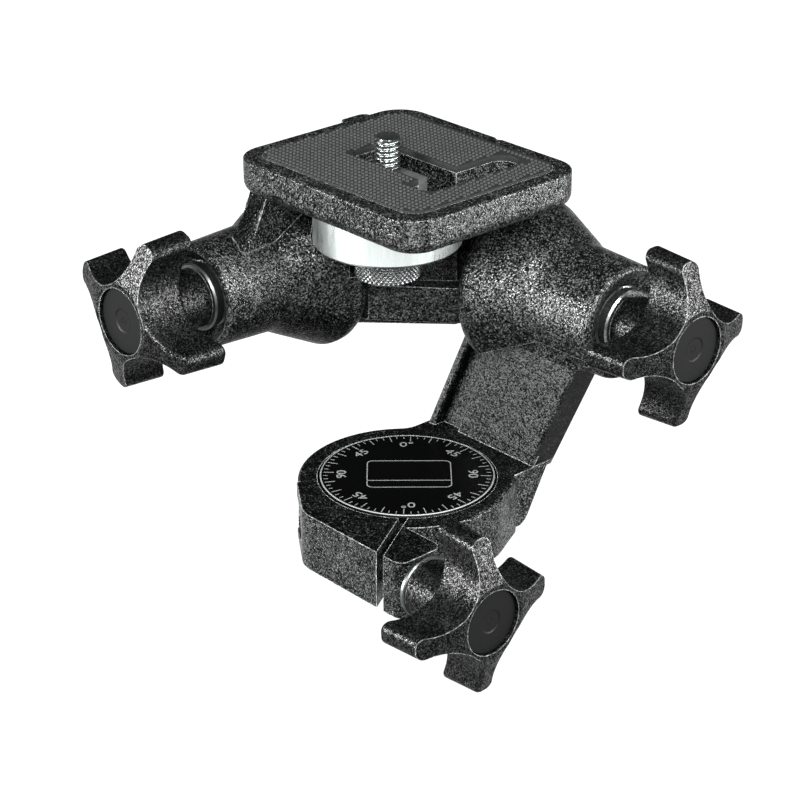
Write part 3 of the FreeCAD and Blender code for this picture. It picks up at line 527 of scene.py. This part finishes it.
# an empty label frame: rounded outline with one divider
FW, FH, FR = 10.4, 7.1, 1.5
FX, FY = 0.45, 0.1
loop = []
for cxs, cys, a0 in ((1, 1, 0), (-1, 1, 90), (-1, -1, 180), (1, -1, 270)):
    for k in range(7):
        a = math.radians(a0 + 15 * k)
        loop.append((FX + cxs * (FW - FR) + FR * math.cos(a),
                     FY + cys * (FH - FR) + FR * math.sin(a)))
flat_line(loop, 0.24)
div = [(FX - FW + 0.15, FY - 3.6), (FX + FW - 0.15, FY - 3.6),
       (FX + FW - 0.15, FY - 3.38), (FX - FW + 0.15, FY - 3.38)]
base = len(dv)
for zz in (ZD, ZD + TH):
    for lx, ly in div:
        dv.append(((lx * math.cos(U) - ly * math.sin(U)) * MM,
                   (lx * math.sin(U) + ly * math.cos(U)) * MM, zz))
b = base
df.extend([(b, b + 3, b + 2, b + 1), (b + 4, b + 5, b + 6, b + 7),
           (b, b + 1, b + 5, b + 4), (b + 1, b + 2, b + 6, b + 5),
           (b + 2, b + 3, b + 7, b + 6), (b + 3, b, b + 4, b + 7)])
marks = mesh_ob("dial_ticks", dv, df, mark_mat, "pan_base_body")

# thin bright line round the dial's edge
rows = []
dv, df = [], []
n = 160
prof = [(21.30, 16.19), (21.33, 16.235), (21.52, 16.235), (21.66, 16.10),
        (21.60, 16.02), (21.47, 16.16)]
for i in range(n):
    a = 2 * math.pi * i / n
    for r, zz in prof:
        dv.append((r * math.cos(a) * MM, r * math.sin(a) * MM, zz * MM))
m = len(prof)
for i in range(n):
    for k in range(m):
        a0 = i * m + k
        a1 = i * m + (k + 1) % m
        b0 = ((i + 1) % n) * m + k
        b1 = ((i + 1) % n) * m + (k + 1) % m
        df.append((a0, b0, b1, a1))
mesh_ob("dial_rim", dv, df, mark_mat, "pan_base_body", 30)


def number(text, x, y, ang, h, name, wide=1.22):
    cu = bpy.data.curves.new(name + "_font", "FONT")
    cu.body = text
    cu.size = h
    cu.align_x = "CENTER"
    cu.align_y = "CENTER"
    cu.extrude = TH / 2
    cu.resolution_u = 4
    tmp = bpy.data.objects.new(name + "_tmp", cu)
    bpy.context.scene.collection.objects.link(tmp)
    bpy.context.view_layer.update()
    dg = bpy.context.evaluated_depsgraph_get()
    me = bpy.data.meshes.new_from_object(tmp.evaluated_get(dg))
    bpy.data.objects.remove(tmp)
    bpy.data.curves.remove(cu)
    M = Matrix.Translation((x * MM, y * MM, ZD + TH / 2)) @ Matrix.Rotation(ang, 4, "Z") \
        @ Matrix.Diagonal((wide, 1.0, 1.0, 1.0))
    me.transform(M)
    me.materials.clear()
    me.materials.append(mark_mat)
    ob = bpy.data.objects.new(name, me)
    bpy.context.scene.collection.objects.link(ob)
    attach(ob, "pan_base_body")
    return ob


labels = [(0, "90"), (45, "45"), (90, "0\u00b0"), (135, "45"), (180, "90"), (225, "45"),
          (270, "0\u00b0"), (315, "45")]
for d, t in labels:
    a = U + math.radians(d)
    r = 16.2
    turn = {0: math.radians(-90), 45: math.radians(-45), 90: 0.0, 135: math.radians(45),
            180: math.radians(90), 225: math.radians(135), 270: math.radians(180),
            315: math.radians(-135)}[d]
    number(t, r * math.cos(a), r * math.sin(a), U + turn, 3.5 * MM, "dial_no_%d" % d)

# --------------------------------------------- moulded ring on the caps
def cap_mark(name, body, cx, cy, cz, axis):
    """Small raised ring at the middle of a knob cap."""
    vs, fs = [], []
    n = 40
    sec = [(0.62, -0.02), (0.66, 0.07), (0.84, 0.07), (0.88, -0.02)]
    for i in range(n):
        a = 2 * math.pi * i / n
        for r, h in sec:
            vs.append((r * math.cos(a), r * math.sin(a), h))
    for i in range(n):
        for k in range(4):
            a0, a1 = i * 4 + k, i * 4 + (k + 1) % 4
            b0, b1 = ((i + 1) % n) * 4 + k, ((i + 1) % n) * 4 + (k + 1) % 4
            fs.append((a0, b0, b1, a1))
    out = []
    for px, py, pz in vs:
        if axis == "x":
            out.append(((cx + pz) * MM, (cy + px) * MM, (cz + py) * MM))
        else:
            out.append(((cx + px) * MM, (cy - pz) * MM, (cz + py) * MM))
    return mesh_ob(name, out, fs, cap_mat, body, 40)


RKX, LKY, CKX = 51.1, 47.8, 40.9
CAPZ = 14.3 - 1.05
cap_mark("right_cap_ring", "right_knob_body", RKX + CAPZ, 29.7, 62.4, "x")
cap_mark("left_cap_ring", "left_knob_body", -30.65, -(LKY + CAPZ), 65.6, "y")
cap_mark("clamp_cap_ring", "clamp_knob_body", CKX + CAPZ, -24.0, 7.5, "x")

# ------------------------------------------------------- camera and room
cam_d = bpy.data.cameras.new("view_camera")
cam_d.lens = 105.016
cam_d.sensor_width = 36.0
cam_d.clip_start = 0.01
cam = bpy.data.objects.new("view_camera", cam_d)
bpy.context.scene.collection.objects.link(cam)
pos = Vector((0.378385, -0.347426, 0.281214))
tgt = Vector((-0.0012277, -0.0013275, 0.0364787))
cam.location = pos
cam.rotation_euler = (tgt - pos).to_track_quat("-Z", "Y").to_euler()
bpy.context.scene.camera = cam

fm, fnt, fbs = new_mat("floor_pale")
vec = coords(fnt)
nn = noise(fnt, vec, 40.0, 2.0)
fnt.links.new(ramp(fnt, nn, [(0.3, (0.034, 0.034, 0.034)), (0.7, (0.042, 0.042, 0.042))]),
              fbs.inputs["Base Color"])
fbs.inputs["Roughness"].default_value = 0.9
fbs.inputs["Emission Color"].default_value = (1.0, 1.0, 1.0, 1)
fbs.inputs["Emission Strength"].default_value = 0.86
fz = -0.0142
bpy.ops.mesh.primitive_plane_add(size=8.0, location=(0, 0, fz))
floor = bpy.context.object
floor.name = "floor"
floor.data.materials.append(fm)
floor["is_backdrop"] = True

world = bpy.data.worlds.new("studio")
world.use_nodes = True
bg = world.node_tree.nodes["Background"]
bg.inputs["Color"].default_value = (1.0, 1.0, 1.0, 1)
bg.inputs["Strength"].default_value = 0.03
bpy.context.scene.world = world


def softbox(name, loc, target, sx, sy, power, col=(1, 1, 1)):
    ld = bpy.data.lights.new(name, "AREA")
    ld.shape = "RECTANGLE"
    ld.size = sx
    ld.size_y = sy
    ld.energy = power
    ld.color = col
    ob = bpy.data.objects.new(name, ld)
    ob.location = loc
    ob.rotation_euler = (Vector(target) - Vector(loc)).to_track_quat("-Z", "Y").to_euler()
    bpy.context.scene.collection.objects.link(ob)
    return ob


aim = (0, 0, 0.05)
softbox("key_front", (-0.40, -0.92, 0.17), aim, 0.42, 0.26, 80.0)
softbox("front_top", (0.50, -0.64, 0.62), aim, 0.42, 0.42, 88.0)
softbox("side_top", (0.80, 0.02, 0.62), aim, 0.44, 0.44, 66.0)
softbox("rim_right", (0.84, 0.56, 0.12), aim, 0.44, 0.30, 46.0)
softbox("top_right", (0.33, 0.67, 0.84), aim, 0.36, 0.36, 3.0)
softbox("top_left", (-0.78, -0.10, 0.88), aim, 0.36, 0.36, 3.0)


def card(name, loc, target, sx, sy, mat):
    """Flat reflector or flag outside the picture."""
    me = bpy.data.meshes.new(name)
    me.from_pydata([(-sx / 2, -sy / 2, 0), (sx / 2, -sy / 2, 0), (sx / 2, sy / 2, 0),
                    (-sx / 2, sy / 2, 0)], [], [(0, 1, 2, 3)])
    ob = bpy.data.objects.new(name, me)
    ob.location = loc
    ob.rotation_euler = (Vector(target) - Vector(loc)).to_track_quat("Z", "Y").to_euler()
    bpy.context.scene.collection.objects.link(ob)
    me.materials.append(mat)
    ob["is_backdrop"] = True
    return ob


flag_mat, flag_nt, flag_bs = new_mat("flag_black")
flag_bs.inputs["Base Color"].default_value = (0.004, 0.004, 0.004, 1)
flag_bs.inputs["Roughness"].default_value = 0.9
card("flag_back", (-0.95, 0.86, 0.75), (0, 0, 0.05), 2.2, 1.3, flag_mat)

bpy.context.scene.view_settings.view_transform = "Standard"
bpy.context.scene.view_settings.look = "None"

size_note["at_finish"] = plain(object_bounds())
